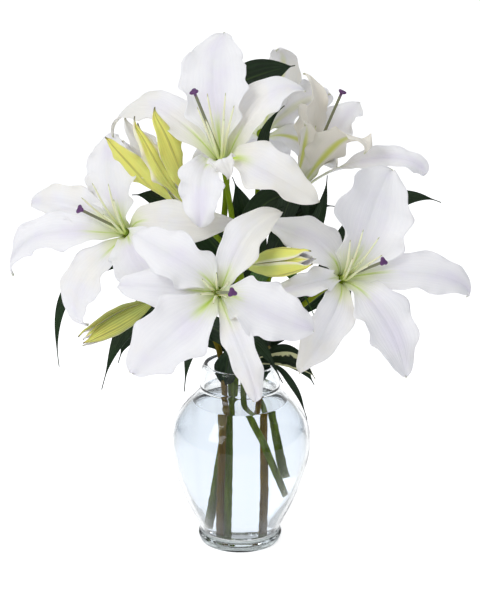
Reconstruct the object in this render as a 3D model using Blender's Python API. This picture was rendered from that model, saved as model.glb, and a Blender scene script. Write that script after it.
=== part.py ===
"""White lilies standing in a clear glass vase of water.

The frame is metres with +Z up. The origin is the middle of the vase's foot, on the surface that
the vase stands on, and the bouquet's front faces -Y. Tables of sizes are in millimetres.
"""

import math

import bmesh
import bpy
from mathutils import Vector

MM = 0.001
GAP = 0.3  # clearance between neighbouring pieces

# The vase, a clear glass urn with a collar and a thick foot.
VASE_HEIGHT = 200.0
BELLY_RADIUS = 75.8
GLASS = 4.0
FLOOR_TOP = 11.0
FLOOR_RADIUS = 36.0
WATER_LEVEL = 158.0
VASE_STEPS = 28
# The outside, down from the lip, as (radius, height).
VASE_OUTSIDE = (
    (38.0, VASE_HEIGHT),
    (40.5, 195.0),
    (43.0, 178.0),
    (42.5, 172.0),
    (49.5, 163.0),
    (61.9, 150.0),
    (73.0, 132.0),
    (BELLY_RADIUS, 112.0),
    (73.0, 90.0),
    (65.7, 66.0),
    (56.8, 43.0),
    (43.0, 13.5),
    (45.3, 7.0),
    (43.0, 0.0),
)

# The flowers.
TEPAL_THICKNESS = 1.0
TEPAL_ROWS = 7
TEPAL_COLUMNS = 2
WIDEST = 0.46  # where along its length a tepal is widest
PETAL_CLAW_RADIUS = 4.6
SEPAL_CLAW_RADIUS = 6.6
FILAMENT_RADIUS = 0.9
STYLE_RADIUS = 1.3
STIGMA_RADIUS = 3.0
OVARY_RADIUS = 3.4
RECEPTACLE_RADIUS = 7.0
PEDICEL_RADIUS = 2.7
STEM_RADIUS = 3.2
STAMENS = 6
STAMEN_LIFT = 62.0

# Each flower: where its tepals join, where it faces (degrees to the right of -Y and above level),
# how far its first tepal is turned about its axis, how wide its outer and inner whorls open at
# their claws, the tip of its pistil, the way that its stamens lean and the ring that they make
# (across, up and along the axis), and its six tepals in order round the axis. A tepal has the turns
# of its middle and its tip, its tip's reach from the axis and lift along it, the angle from the axis
# that its tip has curled to, and its half width.
FLOWERS = {
    "front_lily": {
        "base": (-22, -100, 308),
        "faces": (-3, 17),
        "turned": -5,
        "opens": (30, 22),
        "pistil": (19, 0, 93),
        "stamens": (1, 4, 15),
        "tepals": (
            ("petal_1", -18, -19, 106, 8, 130, 28),
            ("sepal_1", 64, 50, 105, 2, 135, 20),
            ("petal_2", 138, 145, 104, 14, 125, 25),
            ("sepal_2", 176, 176, 105, -4, 135, 19),
            ("petal_3", -135, -135, 120, 12, 125, 34),
            ("sepal_3", -65, -70, 118, 2, 150, 15),
        ),
    },
    "top_lily": {
        "base": (-18, -60, 431),
        "faces": (-10, 47),
        "turned": 95,
        "opens": (30, 22),
        "pistil": (-18, 20, 84),
        "stamens": (-1, 22, 18),
        "tepals": (
            ("petal_1", 99, 93, 131, 45, 110, 35),
            ("sepal_1", 147, 163, 130, -18, 172, 16),
            ("petal_2", -110, -103, 73, -18, 170, 17.5),
            ("sepal_2", -73, -66, 38, 24, 150, 8.5),
            ("petal_3", -25, -22, 112, -5, 130, 24),
            ("sepal_3", 50, 40, 108, 30, 125, 23),
        ),
    },
    "left_lily": {
        "base": (-116, -30, 351),
        "faces": (-25, 28),
        "turned": 93,
        "opens": (30, 22),
        "pistil": (-14, 2, 74),
        "stamens": (-6, 18, 18),
        "tepals": (
            ("petal_1", 105, 107, 108, 16, 118, 27.5),
            ("sepal_1", 163, 173, 108, 25, 120, 20),
            ("petal_2", -164, -150, 130, 20, 135, 20),
            ("sepal_2", -108, -102, 108, 0, 155, 23),
            ("petal_3", -42, -42, 95, 5, 140, 28),
            ("sepal_3", 9, 13, 127, 5, 130, 21),
        ),
    },
    "right_lily": {
        "base": (104, -50, 308),
        "faces": (20, 25),
        "turned": 60,
        "opens": (30, 22),
        "pistil": (12, 2, 76),
        "stamens": (4, 20, 18),
        "tepals": (
            ("petal_1", 67, 60, 122, 35, 115, 43),
            ("sepal_1", 131, 139, 98, -4, 135, 22),
            ("petal_2", -175, -175, 84, 1, 140, 13),
            ("sepal_2", -124, -125, 112, -4, 130, 22),
            ("petal_3", -64, -68, 122, 15, 125, 28),
            ("sepal_3", -7, -15, 133, 25, 145, 21),
        ),
    },
    "side_lily": {
        "base": (65, 40, 385),
        "faces": (75, 68),
        "turned": 85,
        "opens": (23, 17),
        "pistil": (8, 0, 104),
        "stamens": (0, 0, 14),
        "tepals": (
            ("petal_1", 70, 68, 50, 110, 60, 13),
            ("sepal_1", 143, 150, 51, 76, 70, 11),
            ("petal_2", -138, -130, 78, 74, 120, 16),
            ("sepal_2", -100, -86, 114, 56, 180, 15),
            ("petal_3", -26, -14, 52, 98, 60, 19),
            ("sepal_3", 30, 26, 84, 56, 130, 17),
        ),
    },
    "back_lily": {
        "base": (25, 95, 428),
        "faces": (172, 22),
        "turned": 38,
        "opens": (30, 22),
        "pistil": (4, 12, 84),
        "stamens": (0, 12, 18),
        "tepals": (
            ("petal_1", 42, 46, 92, 20, 135, 26),
            ("sepal_1", 108, 98, 104, 8, 140, 21),
            ("petal_2", 156, 154, 84, 24, 130, 26),
            ("sepal_2", 214, 212, 96, 8, 135, 20),
            ("petal_3", 272, 270, 104, 16, 130, 27),
            ("sepal_3", 330, 332, 96, 8, 135, 20),
        ),
    },
    "opening_lily": {
        "base": (-55, -30, 382),
        "faces": (-75, 52),
        "turned": -10,
        "opens": (20, 13),
        "tepals": (
            ("petal_1", 4, 32, 19, 110, -15, 9),
            ("sepal_1", 42, 46, 42, 107, 0, 11),
            ("petal_2", 110, 112, 10, 94, -15, 10),
            ("sepal_2", 170, 170, 30, 102, 0, 14),
            ("petal_3", -130, -130, 8, 90, -15, 9),
            ("sepal_3", -83, -76, 20, 112, 3, 11),
        ),
    },
}

# The buds: base, tip and greatest radius.
BUDS = {
    "right_bud": ((11, -75, 329), (72, -108, 345), 14.0),
    "left_bud": ((-95, -20, 272), (-163, -50, 240), 12.5),
}

# The stems: the main stem's points up from its cut end, the flowers and buds that its tip and its
# branches carry, and its leaves. A branch leaves the stem near its first point and ends behind its
# flower. A leaf has a base, a middle and a tip, a half width and the way its face looks.
STEMS = {
    "stem_1": {
        "points": (
            (-16, -5, 11.3),
            (-15.5, -5, 60),
            (-15, -5, 120),
            (-19, -6, 200),
            (-34, 2, 245),
            (-66, 22, 292),
        ),
        "tip": "left_lily",
        "branches": {"left_bud": ((-26, -3, 226), (-54, -4, 262))},
        "leaves": (
            ((-82, 15, 311), (-172, 2, 288), (-190, -18, 202), 6.0, (-0.4, -1, 0.2)),
            ((-23, -4, 218), (-98, 6, 256), (-147, -6, 172), 12.0, (-0.2, -1, 0.3)),
            ((-18, -7, 180), (-14, -20, 203), (-12, -34, 232), 10.0, (-0.3, -1, 0.2)),
        ),
    },
    "stem_2": {
        "points": (
            (-22, 12, 18),
            (-16, 16, 80),
            (-6.5, 16, 150),
            (-4, 14, 200),
            (-3, 20, 280),
            (-7, 6, 345),
        ),
        "tip": "top_lily",
        "branches": {"opening_lily": ((-4, 18, 296), (-18, 4, 330))},
        "leaves": (
            ((-5, 14, 318), (36, 22, 374), (89, 14, 360), 11.0, (0.1, -1, 0.5)),
            ((-3, 19, 290), (-60, 16, 366), (-112, 4, 386), 9.5, (0, -1, 0.4)),
            ((-4, 17, 262), (12, 30, 330), (-2, 34, 392), 12.0, (0.2, -1, 0.1)),
        ),
    },
    "stem_3": {
        "points": ((41.5, -20, 62), (24.5, -18, 105), (5.5, -14, 150), (3, -14, 200), (-6, -20, 250)),
        "tip": "front_lily",
        "branches": {"right_bud": ((-4, -18, 236), (2, -44, 300))},
        "leaves": (
            ((-1, -16, 222), (30, -62, 326), (76, -80, 274), 7.0, (0.2, -1, 0.4)),
            ((2, -14, 208), (-38, -40, 252), (-58, -42, 183), 10.0, (-0.2, -1, 0.3)),
            ((4, -14, 190), (14, -38, 236), (44, -52, 196), 7.0, (0.2, -1, 0.2)),
            ((5, -16, 204), (52, -42, 216), (78, -46, 198), 7.5, (0, -0.6, 1)),
        ),
    },
    "stem_4": {
        "points": ((16.5, 4, 11.3), (18, 4, 60), (19.5, 4, 120), (24, 2, 198), (44, 8, 240)),
        "tip": "right_lily",
        "branches": {},
        "leaves": (
            ((58, 4, 253), (134, 36, 330), (146, 34, 436), 9.0, (0, -1, 0.1)),
            ((70, -4, 266), (140, 24, 358), (210, 20, 370), 11.0, (0, -1, 0.3)),
            ((28, 2, 207), (54, -20, 212), (78, -24, 184), 9.0, (0.3, -1, 0.4)),
            ((22, 2, 178), (21, -12, 204), (18, -18, 240), 8.0, (0.3, -1, 0.2)),
            ((32, 4, 216), (40, -6, 244), (70, -10, 262), 12.0, (0, -1, 0.2)),
            ((40, 6, 230), (92, 4, 294), (118, -8, 266), 9.0, (0, -1, 0.2)),
        ),
    },
    "stem_5": {
        "points": ((31, 20, 75), (26, 17, 120), (20.5, 16, 160), (22, 15, 200), (30, 36, 280)),
        "tip": "side_lily",
        "branches": {"back_lily": ((28, 26, 244), (18, 44, 320))},
        "leaves": (
            ((34, 40, 300), (57, 2, 386), (70, -14, 344), 9.0, (0.1, -1, 0.3)),
            ((30, 36, 284), (74, 14, 340), (90, 8, 402), 7.0, (0.2, -1, 0.2)),
            ((52, 43, 351), (24, 40, 420), (46, 32, 470), 6.0, (-0.2, -1, 0.2)),
            ((31, 34, 300), (58, 26, 352), (99, 20, 366), 11.0, (0, -1, 0.3)),
        ),
    },
    "stem_6": {
        "points": (
            (-9.5, 4, 11.3),
            (-9, 4, 60),
            (-9, 4, 120),
            (-11, 3, 200),
            (-20, 30, 290),
            (-14, 48, 400),
            (-22, 46, 474),
        ),
        "branches": {},
        "leaves": (
            ((-12, 6, 214), (-86, 26, 246), (-131, 22, 194), 13.0, (-0.2, -1, 0.3)),
            ((-19, 26, 270), (-60, 60, 350), (-104, 60, 300), 9.0, (-0.3, 0.4, 1)),
            ((-18, 20, 250), (10, 70, 330), (30, 120, 290), 9.0, (0.2, 0.6, 1)),
        ),
    },
}

# Two leaves with a node each: base, middle, tip, half width and the way the face looks.
LEAVES = {
    "top_leaf": ((-20, 46, 482), (20, 43, 500), (57, 48, 509), 13.0, (0.1, -1, 0.3)),
    "collar_leaf": ((34, -26, 207), (54, -28, 187), (71, -24, 145), 3.0, (0.6, -1, 0.4)),
}

# Colours, roughness and metallic value of each kind of piece.
FINISHES = {
    "glass": ((0.80, 0.87, 0.87), 0.03, 0.0),
    "water": ((0.86, 0.91, 0.92), 0.02, 0.0),
    "petal": ((0.90, 0.89, 0.93), 0.45, 0.0),
    "opening": ((0.78, 0.76, 0.34), 0.45, 0.0),
    "heart": ((0.55, 0.66, 0.28), 0.45, 0.0),
    "stem": ((0.20, 0.26, 0.07), 0.55, 0.0),
    "leaf": ((0.03, 0.10, 0.04), 0.40, 0.0),
}


def axes_of(faces):
    """A flower's axis and its rightward and upward directions, as seen from in front of it."""
    heading, rise = (math.radians(angle) for angle in faces)
    axis = Vector((math.sin(heading) * math.cos(rise), -math.cos(heading) * math.cos(rise), math.sin(rise)))
    up = Vector((-math.sin(heading) * math.sin(rise), math.cos(heading) * math.sin(rise), math.cos(rise)))
    return axis, up.cross(axis), up


def smooth_path(points, per_span):
    """Points along a smooth curve through the given ones."""
    knots = [Vector(point) for point in points]
    knots = [2 * knots[0] - knots[1], *knots, 2 * knots[-1] - knots[-2]]
    path = []
    for a, b, c, d in zip(knots, knots[1:], knots[2:], knots[3:]):
        for step in range(per_span):
            t = step / per_span
            curved = (2 * a - 5 * b + 4 * c - d) * t**2 + (3 * b - a - 3 * c + d) * t**3
            path.append(0.5 * (2 * b + (c - a) * t + curved))
    return [*path, knots[-2]]


def bezier(points, t):
    a, b, c, d = points
    s = 1 - t
    return s**3 * a + 3 * s * s * t * b + 3 * s * t * t * c + t**3 * d


def finish(name, kind):
    colour, roughness, metallic = FINISHES[kind]
    material = bpy.data.materials.new(name)
    material.use_nodes = True
    shader = material.node_tree.nodes["Principled BSDF"]
    shader.inputs["Base Color"].default_value = (*colour, 1)
    shader.inputs["Roughness"].default_value = roughness
    shader.inputs["Metallic"].default_value = metallic
    return material


def new_object(name, data, kind):
    made = bpy.data.objects.new(name, data)
    bpy.context.scene.collection.objects.link(made)
    data.materials.append(finish(name, kind))
    return made


def joined(piece, others):
    """Unites other shapes with a piece."""
    for other in others:
        union = piece.modifiers.new("union", "BOOLEAN")
        union.operation = "UNION"
        union.object = other
        other.hide_render = True
        other.display_type = "WIRE"
    return piece


def blade(name, point_at, rows, columns, thickness, kind):
    """A thin curved blade: a grid of points, thickened about its middle surface."""
    shape = bmesh.new()
    grid = [
        [shape.verts.new(MM * point_at(i / rows, 2 * j / columns - 1)) for j in range(columns + 1)]
        for i in range(rows + 1)
    ]
    for i in range(rows):
        for j in range(columns):
            shape.faces.new((grid[i][j], grid[i][j + 1], grid[i + 1][j + 1], grid[i + 1][j]))
    mesh = bpy.data.meshes.new(name)
    shape.to_mesh(mesh)
    shape.free()
    mesh.shade_smooth()
    made = new_object(name, mesh, kind)
    solid = made.modifiers.new("thickness", "SOLIDIFY")
    solid.thickness = thickness * MM
    solid.offset = 0
    return made


def tube(name, points, radii, sides, kind):
    """A closed tube along points, with a radius at each."""
    curve = bpy.data.curves.new(name, "CURVE")
    curve.dimensions = "3D"
    curve.bevel_depth = MM
    curve.bevel_resolution = (sides - 4) // 2
    curve.use_fill_caps = True
    spline = curve.splines.new("POLY")
    spline.points.add(len(points) - 1)
    for knot, point, radius in zip(spline.points, points, radii):
        knot.co = (*(MM * point), 1)
        knot.radius = radius
    guide = bpy.data.objects.new(name, curve)
    bpy.context.scene.collection.objects.link(guide)
    mesh = bpy.data.meshes.new_from_object(guide.evaluated_get(bpy.context.evaluated_depsgraph_get()))
    bpy.data.objects.remove(guide)
    mesh.materials.clear()
    mesh.name = name
    mesh.shade_smooth()
    return new_object(name, mesh, kind)


def turned(name, profile, kind):
    """A solid of revolution about the vase's axis, from (radius, height) points."""
    shape = bmesh.new()
    knots = [shape.verts.new((MM * radius, 0, MM * height)) for radius, height in profile]
    for a, b in zip(knots, knots[1:]):
        shape.edges.new((a, b))
    mesh = bpy.data.meshes.new(name)
    shape.to_mesh(mesh)
    shape.free()
    made = new_object(name, mesh, kind)
    screw = made.modifiers.new("turn", "SCREW")
    screw.steps = screw.render_steps = VASE_STEPS
    screw.use_merge_vertices = True
    screw.merge_threshold = 0.0001
    screw.use_smooth_shade = True
    return made


def vase_inside(clearance):
    """The vase's inner wall from its floor to its lip, moved in by a clearance."""
    outside = [Vector(point) for point in VASE_OUTSIDE]
    wall = []
    for below, here, above in zip(outside[2:], outside[1:], outside):
        rise = (above - below).normalized()
        inner = here + (GLASS + clearance) * Vector((-rise.y, rise.x))
        if FLOOR_TOP + GLASS < inner.y < VASE_HEIGHT - GLASS:
            wall.append((inner.x, inner.y))
    return [(FLOOR_RADIUS, FLOOR_TOP + clearance), *reversed(wall)]


def build_vase():
    lip = (VASE_OUTSIDE[0][0] - GLASS, VASE_HEIGHT)
    turned("vase", [(0, FLOOR_TOP), *vase_inside(0), lip, *VASE_OUTSIDE, (0, 0)], "glass")


def build_water():
    """The water, with a pocket round every stem that stands in it."""
    wall = [point for point in vase_inside(GAP) if point[1] < WATER_LEVEL]
    above = next(point for point in vase_inside(GAP) if point[1] >= WATER_LEVEL)
    share = (WATER_LEVEL - wall[-1][1]) / (above[1] - wall[-1][1])
    brim = (wall[-1][0] + share * (above[0] - wall[-1][0]), WATER_LEVEL)
    water = turned("vase_water", [(0, wall[0][1]), *wall, brim, (0, WATER_LEVEL)][::-1], "water")
    water.modifiers["turn"].use_normal_flip = True
    for name, stem in STEMS.items():
        path = main_path(stem)
        path[0] = path[0] + 1.5 * (path[0] - path[1]).normalized()
        below = path[: sum(point.z < WATER_LEVEL for point in path) + 2]
        cutter = tube(f"{name}_pocket", below, [STEM_RADIUS + 2 * GAP] * len(below), 8, "water")
        cutter.hide_render = True
        cutter.display_type = "WIRE"
        cut = water.modifiers.new(f"{name}_pocket", "BOOLEAN")
        cut.object = cutter


def tepal_point(flower, index, u, v):
    """A point on a tepal's middle surface, u from claw to tip and v from edge to edge (-1 to 1)."""
    kind, mid_turn, tip_turn, reach, lift, curl, width = flower["tepals"][index]
    is_sepal = kind.startswith("sepal")
    axis, right, up = axes_of(flower["faces"])
    claw_turn = flower["turned"] + 60 * index
    to_middle = (mid_turn - claw_turn + 180) % 360 - 180
    to_tip = (tip_turn - claw_turn + 180) % 360 - 180
    claw = SEPAL_CLAW_RADIUS if is_sepal else PETAL_CLAW_RADIUS
    opens = math.radians(flower["opens"][0 if is_sepal else 1])
    curl = math.radians(curl)
    handle = 0.4 * max(math.hypot(reach, lift), 95)
    start = Vector((claw, 0))
    end = Vector((reach, lift))
    line = (
        start,
        start + handle * Vector((math.sin(opens), math.cos(opens))),
        end - handle * Vector((math.sin(curl), math.cos(curl))),
        end,
    )

    def centre(t):
        from_axis, along_axis = bezier(line, t)
        turn = math.radians(claw_turn + to_middle * 4 * t * (1 - t) + to_tip * t * (2 * t - 1))
        outward = math.cos(turn) * right + math.sin(turn) * up
        return from_axis * outward + along_axis * axis, turn, from_axis

    middle, turn, from_axis = centre(u)
    aside = math.cos(turn) * up - math.sin(turn) * right
    along = (centre(u + 0.01)[0] - centre(u - 0.01)[0]).normalized()
    aside = (aside - aside.dot(along) * along).normalized()
    inward = along.cross(aside).normalized()
    if u < WIDEST:
        least = 0.24 if is_sepal else 0.13
        share = least + (1 - least) * math.sin(math.pi / 2 * u / WIDEST) ** 1.7
    else:
        share = 1 - ((u - WIDEST) / (1 - WIDEST)) ** 1.9
    half = max(width * share, 1.2)
    cup = max(min(half / from_axis, 1.0), 0.4 * (1 - u))
    across = half * math.sin(v * cup) / cup
    raised = half * (1 - math.cos(v * cup)) / cup
    return Vector(flower["base"]) + middle + across * aside + raised * inward


def build_tepals(name, flower):
    kind = "opening" if name == "opening_lily" else "petal"
    for index, tepal in enumerate(flower["tepals"]):
        blade(
            f"{name}_{tepal[0]}",
            lambda u, v: tepal_point(flower, index, u, v),
            TEPAL_ROWS,
            TEPAL_COLUMNS,
            TEPAL_THICKNESS,
            kind,
        )


def build_heart(name, flower):
    """A flower's pistil, with its six filaments on a shared seat."""
    axis, right, up = axes_of(flower["faces"])
    base = Vector(flower["base"])

    def place(across, rise, lift):
        return base + across * right + rise * up + lift * axis

    x, y, z = flower["pistil"]
    points = [place(0, 0, -0.6), place(0, 0, 14), place(x / 3, y / 4, z / 2), place(x, y, z)]
    path = smooth_path(points, 2)
    path.append(path[-1] + (path[-1] - path[-2]).normalized() * 4)
    radii = [OVARY_RADIUS, 0.8 * OVARY_RADIUS, *[STYLE_RADIUS] * (len(path) - 4)]
    radii += [STIGMA_RADIUS, 0.8 * STIGMA_RADIUS]
    heart = tube(f"{name}_pistil_and_stamens", path, radii, 6, "heart")
    lean_across, lean_up, ring = flower["stamens"]
    filaments = []
    for k in range(STAMENS):
        turn = math.radians(flower["turned"] + 60 * k + 30)
        x = lean_across + ring * math.cos(turn)
        y = lean_up + ring * math.sin(turn)
        foot = place(0.6 * math.cos(turn), 0.6 * math.sin(turn), 1.6)
        low = place(3 * math.cos(turn), 3 * math.sin(turn), 12)
        bend = place(0.55 * x, 0.45 * y, 0.6 * STAMEN_LIFT)
        path = smooth_path([foot, low, bend, place(x, y, STAMEN_LIFT)], 1)
        filaments.append(tube(f"{name}_filament_{k + 1}", path, [FILAMENT_RADIUS] * len(path), 4, "heart"))
    joined(heart, filaments)


def build_bud(name, bud):
    base, tip, radius = Vector(bud[0]), Vector(bud[1]), bud[2]
    shares = ((0, 0.3), (0.1, 0.55), (0.3, 0.9), (0.5, 1), (0.7, 0.85), (0.88, 0.5), (1, 0.12))
    path = [base.lerp(tip, along) for along, _ in shares]
    tube(name, path, [radius * share for _, share in shares], 8, "opening")


def leaf_point(leaf, u, v):
    """A point on a leaf's middle surface, folded a little along its midrib."""
    base, middle, tip, width, facing = leaf
    base, middle, tip = Vector(base), Vector(middle), Vector(tip)
    bend = 2 * middle - 0.5 * (base + tip)
    centre = (1 - u) ** 2 * base + 2 * u * (1 - u) * bend + u * u * tip
    along = ((1 - u) * (bend - base) + u * (tip - bend)).normalized()
    aside = along.cross(Vector(facing)).normalized()
    half = max(width * math.sin(math.pi * min(u + 0.06, 1) ** 0.85), 0.8)
    return centre + v * half * aside + 0.25 * abs(v) * half * aside.cross(along)


def build_leaf(name, leaf):
    return blade(name, lambda u, v: leaf_point(leaf, u, v), 6, 2, 0.8, "leaf")


def behind(name):
    """The last points of a stalk, which comes up behind its flower or bud."""
    if name in BUDS:
        base, tip = (Vector(point) for point in BUDS[name][:2])
        axis = (tip - base).normalized()
        return [base - 14 * axis, base - 4 * GAP * axis]
    flower = FLOWERS[name]
    axis = axes_of(flower["faces"])[0]
    base = Vector(flower["base"])
    return [base - 34 * axis, base - 12 * axis, base - 5 * axis, base - 1.2 * axis]


def stalk_radii(name, count):
    ends = [PEDICEL_RADIUS, RECEPTACLE_RADIUS * 0.75, RECEPTACLE_RADIUS]
    if name in BUDS:
        ends = [PEDICEL_RADIUS, BUDS[name][2] * 0.3]
    return [PEDICEL_RADIUS] * (count - len(ends)) + ends


def main_path(stem):
    return smooth_path(stem["points"], 2)


def build_stem(name, stem):
    path = main_path(stem)
    radii = [STEM_RADIUS] * len(path)
    if "tip" in stem:
        end = behind(stem["tip"])
        path = smooth_path([*stem["points"], end[0]], 2) + end[1:]
        radii = [STEM_RADIUS] * (len(path) - 5) + [3.0] + stalk_radii(stem["tip"], 4)
    main = tube(name, path, radii, 6, "stem")
    others = []
    for carried, points in stem["branches"].items():
        end = behind(carried)
        path = smooth_path([*points, end[0]], 2) + end[1:]
        others.append(tube(f"{name}_branch", path, stalk_radii(carried, len(path)), 6, "stem"))
    others += [build_leaf(f"{name}_leaf_{k + 1}", leaf) for k, leaf in enumerate(stem["leaves"])]
    joined(main, others)


def main():
    for old in list(bpy.data.objects):
        bpy.data.objects.remove(old)
    build_vase()
    for name, stem in STEMS.items():
        build_stem(name, stem)
    build_water()
    for name, leaf in LEAVES.items():
        build_leaf(name, leaf)
    for name, bud in BUDS.items():
        build_bud(name, bud)
    for name, flower in FLOWERS.items():
        build_tepals(name, flower)
        if "pistil" in flower:
            build_heart(name, flower)


main()
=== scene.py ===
import math
import random

import bmesh
import bpy
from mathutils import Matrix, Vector, noise


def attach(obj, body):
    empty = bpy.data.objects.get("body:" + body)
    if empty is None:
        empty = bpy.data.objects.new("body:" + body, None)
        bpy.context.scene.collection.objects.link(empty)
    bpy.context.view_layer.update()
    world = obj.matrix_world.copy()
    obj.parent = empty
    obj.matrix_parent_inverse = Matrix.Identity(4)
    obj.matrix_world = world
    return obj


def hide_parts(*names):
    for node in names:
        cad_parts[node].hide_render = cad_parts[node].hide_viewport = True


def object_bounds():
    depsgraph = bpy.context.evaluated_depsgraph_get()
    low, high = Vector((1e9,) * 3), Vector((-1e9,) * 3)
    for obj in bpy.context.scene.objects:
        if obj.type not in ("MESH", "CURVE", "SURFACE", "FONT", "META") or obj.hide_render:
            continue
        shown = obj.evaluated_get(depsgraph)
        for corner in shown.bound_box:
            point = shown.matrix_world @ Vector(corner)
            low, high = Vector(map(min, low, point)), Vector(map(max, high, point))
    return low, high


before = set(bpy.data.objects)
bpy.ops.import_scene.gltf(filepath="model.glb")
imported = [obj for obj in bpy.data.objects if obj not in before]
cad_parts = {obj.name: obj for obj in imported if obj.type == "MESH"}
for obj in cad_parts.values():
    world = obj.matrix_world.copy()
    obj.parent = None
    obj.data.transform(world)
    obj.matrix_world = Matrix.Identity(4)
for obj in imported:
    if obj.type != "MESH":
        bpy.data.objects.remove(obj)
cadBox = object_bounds()
mm = 0.001  # the tables of sizes below are in millimetres, in the model's own frame
print("frame loaded:", len(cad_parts), "nodes")


class Wire:
    # A socket that can be used in sums: each operator adds its Math node.
    def __init__(self, finish, socket):
        self.finish = finish
        self.socket = socket

    def sum(self, operation, first, second):
        return self.finish.add("Math", {"operation": operation}, {0: first, 1: second})

    def __add__(self, other):
        return self.sum("ADD", self, other)

    def __radd__(self, other):
        return self.sum("ADD", other, self)

    def __sub__(self, other):
        return self.sum("SUBTRACT", self, other)

    def __rsub__(self, other):
        return self.sum("SUBTRACT", other, self)

    def __mul__(self, other):
        return self.sum("MULTIPLY", self, other)

    def __rmul__(self, other):
        return self.sum("MULTIPLY", other, self)

    def __abs__(self):
        return self.sum("ABSOLUTE", self, 0)


class Nodes:
    # A node tree, with the one method that adds its nodes.
    def __init__(self, tree):
        self.tree = tree

    def feed(self, socket, value):
        if isinstance(value, Wire):
            self.tree.links.new(value.socket, socket)
        else:
            isColour = isinstance(value, tuple) and socket.type == "RGBA"
            socket.default_value = (*value, 1) if isColour else value

    def add(self, kind, settings, sockets, output=0):
        node = self.tree.nodes.new("ShaderNode" + kind)
        for setting, value in settings.items():
            setattr(node, setting, value)
        for socket, value in sockets.items():
            self.feed(node.inputs[socket], value)
        return Wire(self, node.outputs[output])

    def attribute(self, name):
        return self.add("Attribute", {"attribute_name": name}, {}, "Fac")

    def blend(self, share, first, second):
        # The first colour where share is 0, the second where it is 1.
        settings = {"data_type": "RGBA", "clamp_factor": True}
        return self.add("Mix", settings, {0: share, 6: first, 7: second}, 2)

    def ease(self, value, low, high):
        # 0 below low, 1 above high, and smooth between; low may be the larger.
        settings = {"interpolation_type": "SMOOTHSTEP", "clamp": True}
        if low < high:
            sockets = {"Value": value, "From Min": low, "From Max": high}
        else:
            sockets = {"Value": value, "From Min": high, "From Max": low, "To Min": 1.0, "To Max": 0.0}
        return self.add("MapRange", settings, sockets)


class Finish(Nodes):
    # A material with its Principled shader, and what is the same all over it.
    def __init__(self, name, **fixed):
        self.material = bpy.data.materials.new(name)
        self.material.use_nodes = True
        super().__init__(self.material.node_tree)
        self.shader = self.tree.nodes["Principled BSDF"]
        for socket, value in fixed.items():
            self.feed(self.shader.inputs[socket.replace("_", " ")], value)

    def grain(self, scale, detail=3.0, stretch=(1, 1, 1)):
        # Soft noise in the object's own coordinates, scale in repeats per metre.
        place = self.add("TexCoord", {}, {}, "Object")
        place = self.add("VectorMath", {"operation": "MULTIPLY"}, {0: place, 1: stretch})
        return self.add("TexNoise", {}, {"Vector": place, "Scale": scale, "Detail": detail})

    def lengthwise(self, lines, wander):
        # Fine lines that run along a blade from its claw to its tip, 0 to 1.
        along = self.attribute("along")
        across = self.attribute("across")
        place = self.add("CombineXYZ", {}, {"X": along * 3, "Y": across * 2})
        drift = self.add("TexNoise", {"noise_dimensions": "2D"}, {"Vector": place, "Scale": 1.5})
        phase = across * lines + drift * wander
        return self.add("Math", {"operation": "SINE"}, {0: phase}) * 0.5 + 0.5

    def relief(self, height, depth, strength=1.0):
        bump = self.add("Bump", {}, {"Height": height, "Distance": depth * mm, "Strength": strength})
        self.feed(self.shader.inputs["Normal"], bump)

    def paint(self, colour=None, roughness=None):
        if colour is not None:
            self.feed(self.shader.inputs["Base Color"], colour)
        if roughness is not None:
            self.feed(self.shader.inputs["Roughness"], roughness)
        return self.material


petalLook = {
    # painted highlight: the clear white that the edges are lightened to
    "highlightRim": (0.96, 0.95, 0.965),
    "cool": (0.83, 0.79, 0.90),  # painted shade: the middle's white, darkened with a breath of lavender
    # painted shade as well, mixed at random with the lavender one
    "shadeGrey": (0.86, 0.86, 0.875),
    "cream": (0.95, 0.915, 0.80),
    "beige": (0.86, 0.78, 0.66),
    "throat": (0.84, 0.93, 0.46),
    "furrow": (0.54, 0.74, 0.07),
    "tip": (0.50, 0.52, 0.26),
    "rib": (0.66, 0.70, 0.16),  # the outer side's midrib
    "veinTint": (0.66, 0.65, 0.76),
    "veins": 46.0,
    "softness": 0.25,  # how much light passes into it
    "clouds": 26,  # repeats in a metre, as for each grain
    "patches": 14,
    "pores": 900,
    "relief": 0.3,  # in millimetres
    "roughness": 0.40,
}


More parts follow.
